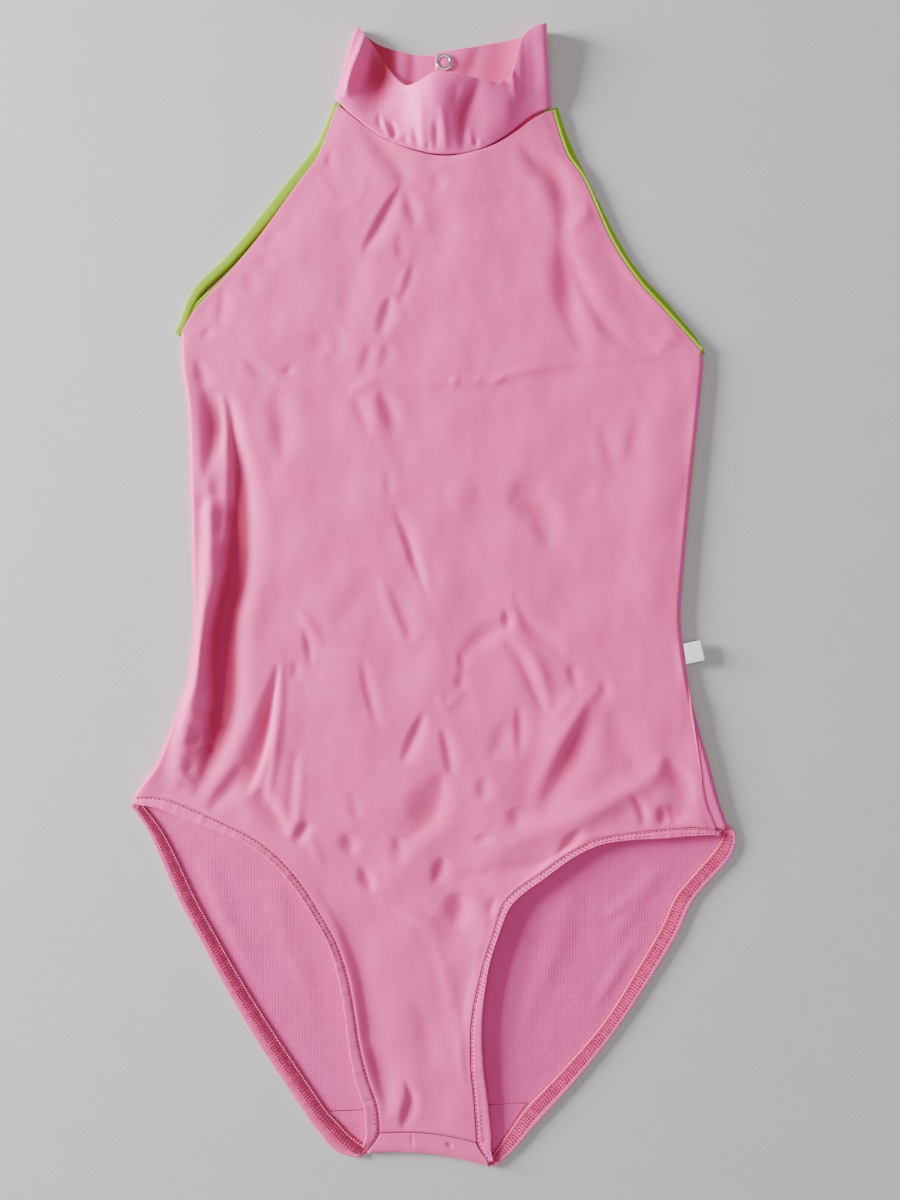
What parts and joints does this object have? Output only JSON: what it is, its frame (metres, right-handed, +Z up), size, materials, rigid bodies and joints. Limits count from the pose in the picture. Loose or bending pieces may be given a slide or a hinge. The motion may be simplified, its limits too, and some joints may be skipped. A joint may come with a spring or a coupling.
{
  "type": "leotard",
  "caption": "Sleeveless stretch leotard with a stand-up collar snapped at the back, lime-bound cut-away armholes and turned leg hems, laid flat with its front up.",
  "frame": {"origin": "on the table under the middle of the garment", "axes": "+X to the right of the front as seen from above, +Y up the garment towards the collar, +Z up from the table"},
  "size_m": [0.3618, 0.6797, 0.0196],
  "materials": {
    "body_jersey": "matte stretch jersey",
    "collar_jersey": "matte stretch jersey, doubled",
    "lime_binding": "matte stretch binding",
    "white_tape": "smooth woven tape",
    "snap_metal": "polished"
  },
  "bodies": {
    "root": {"front_panel": "body_jersey", "back_panel": "body_jersey", "gusset": "body_jersey", "collar": "collar_jersey", "leg_band_front_left": "body_jersey", "leg_band_front_right": "body_jersey", "leg_band_back_left": "body_jersey", "leg_band_back_right": "body_jersey", "armhole_binding_front_left": "lime_binding", "armhole_binding_front_right": "lime_binding", "armhole_binding_back_left": "lime_binding", "armhole_binding_back_right": "lime_binding", "side_tab": "white_tape", "snap_ring": "snap_metal", "snap_stud": "snap_metal"}
  },
  "joints": []
}
